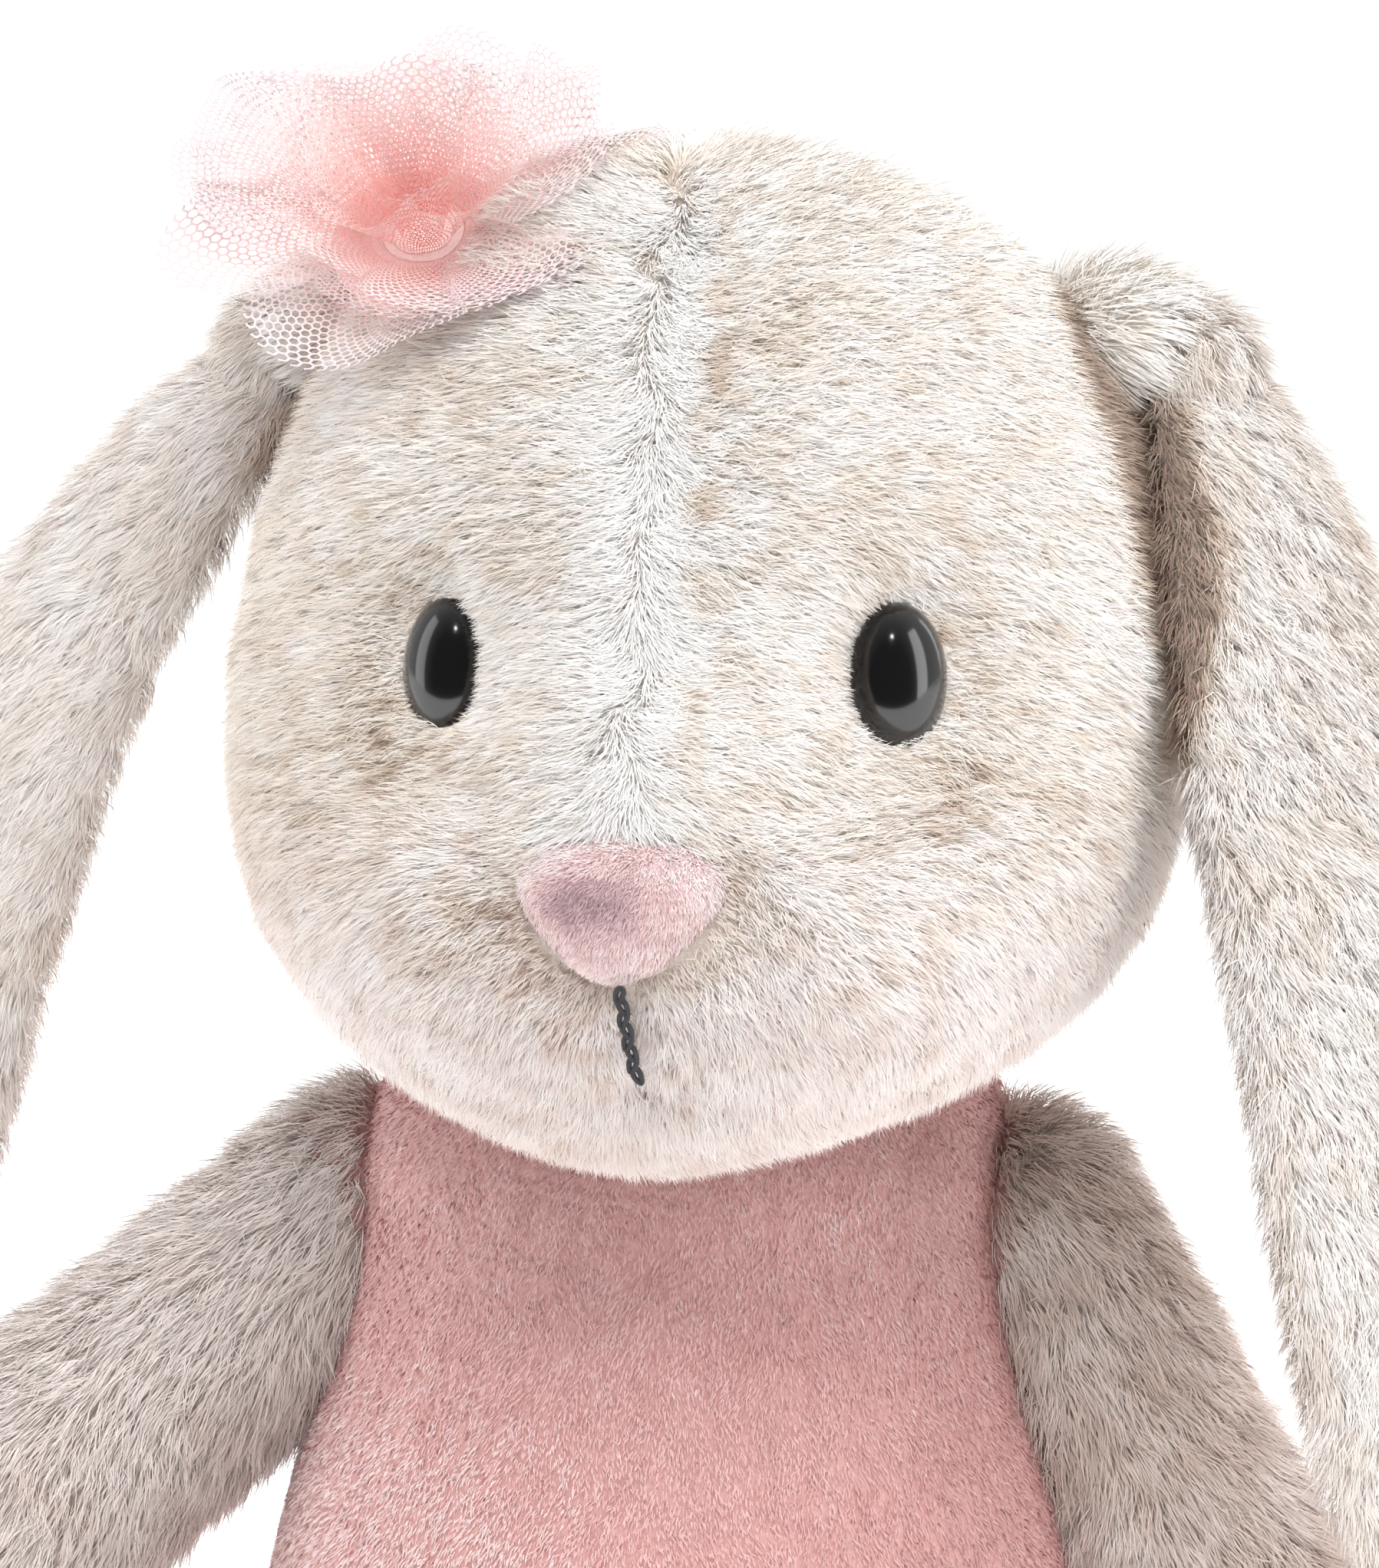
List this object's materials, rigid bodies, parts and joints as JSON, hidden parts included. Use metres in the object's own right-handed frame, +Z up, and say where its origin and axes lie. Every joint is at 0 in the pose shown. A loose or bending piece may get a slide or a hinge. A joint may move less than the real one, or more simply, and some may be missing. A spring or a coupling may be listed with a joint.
{
  "type": "stuffed bunny rabbit",
  "caption": "Seated plush rabbit with long drooping ears, pink velour body, glossy safety eyes, stitched nose and a tulle rosette; head, ears, arms and legs swing.",
  "frame": {"origin": "middle of the flat seat under the body", "axes": "+Z up, the rabbit faces -Y, its own left side is +X"},
  "size_m": [0.2133, 0.1773, 0.2151],
  "materials": {
    "plush": "cream long-pile plush with tan tips",
    "ear_lining": "short-pile velour, dusty pink beige",
    "pink_velour": "short-pile velour, old rose",
    "nose_velour": "short-pile velour, pale pink",
    "sole_velour": "short-pile velour, old rose",
    "eye_black": "polished",
    "washer_white": "moulded",
    "dark_thread": "twisted embroidery thread",
    "pink_thread": "sewing thread",
    "tulle": "soft hexagonal tulle, pale pink",
    "felt": "pressed felt",
    "fibre": "polyester fibre filling",
    "bag_cotton": "plain cotton",
    "pellets": "small plastic pellets"
  },
  "bodies": {
    "torso": {"body_seat": "pink_velour", "body_front": "pink_velour", "body_back_left": "pink_velour", "body_back_right": "pink_velour", "body_stuffing": "fibre", "pellet_bag": "bag_cotton", "pellets": "pellets", "tail_plush": "plush", "tail_stuffing": "fibre", "back_seam": "pink_thread"},
    "neck": {"neck_band": "pink_velour"},
    "head": {"head_plush_left": "plush", "head_plush_right": "plush", "head_plush_back": "plush", "head_stuffing": "fibre", "eye_left": "eye_black", "eye_right": "eye_black", "eye_washer_left": "washer_white", "eye_washer_right": "washer_white", "nose_pad": "nose_velour", "nose_padding": "fibre", "mouth_stitch": "dark_thread", "rosette_tulle": "tulle", "rosette_bud": "tulle", "rosette_felt": "felt", "ear_stub_left": "plush", "ear_stub_right": "plush"},
    "ear_left": {"ear_plush_left": "plush", "ear_lining_left": "ear_lining"},
    "ear_right": {"ear_plush_right": "plush", "ear_lining_right": "ear_lining"},
    "arm_left": {"arm_plush_left": "plush", "arm_stuffing_left": "fibre"},
    "arm_right": {"arm_plush_right": "plush", "arm_stuffing_right": "fibre"},
    "leg_left": {"leg_plush_left": "plush", "leg_stuffing_left": "fibre", "sole_left": "sole_velour"},
    "leg_right": {"leg_plush_right": "plush", "leg_stuffing_right": "fibre", "sole_right": "sole_velour"}
  },
  "joints": [
    {"name": "head_turn", "type": "hinge", "parent": "torso", "child": "neck", "pos_m": [0, 0.006, 0.078], "axis": [0, 0, -1], "range_deg": [-15, 15], "stiffness_Nm_per_rad": 0.4},
    {"name": "head_nod", "type": "hinge", "parent": "neck", "child": "head", "pos_m": [0, 0.006, 0.078], "axis": [1, 0, 0], "range_deg": [-12, 12], "stiffness_Nm_per_rad": 1.2, "springref_deg": -1.15},
    {"name": "ear_left_lift", "type": "hinge", "parent": "head", "child": "ear_left", "pos_m": [0.0545, 0.004, 0.173], "axis": [0, -1, 0], "range_deg": [0, 95]},
    {"name": "ear_right_lift", "type": "hinge", "parent": "head", "child": "ear_right", "pos_m": [-0.0455, 0.009, 0.173], "axis": [0, 1, 0], "range_deg": [0, 95]},
    {"name": "arm_left_lift", "type": "hinge", "parent": "torso", "child": "arm_left", "pos_m": [0.0365, 0.008, 0.0775], "axis": [0, -1, 0], "range_deg": [0, 85]},
    {"name": "arm_right_lift", "type": "hinge", "parent": "torso", "child": "arm_right", "pos_m": [-0.0355, 0.004, 0.0785], "axis": [0, 1, 0], "range_deg": [-8, 65], "stiffness_Nm_per_rad": 0.05, "springref_deg": 2.86},
    {"name": "leg_left_lift", "type": "hinge", "parent": "torso", "child": "leg_left", "pos_m": [0.025, -0.037, 0.017], "axis": [-1, 0, 0], "range_deg": [0, 50]},
    {"name": "leg_right_lift", "type": "hinge", "parent": "torso", "child": "leg_right", "pos_m": [-0.025, -0.037, 0.017], "axis": [-1, 0, 0], "range_deg": [0, 50]}
  ]
}
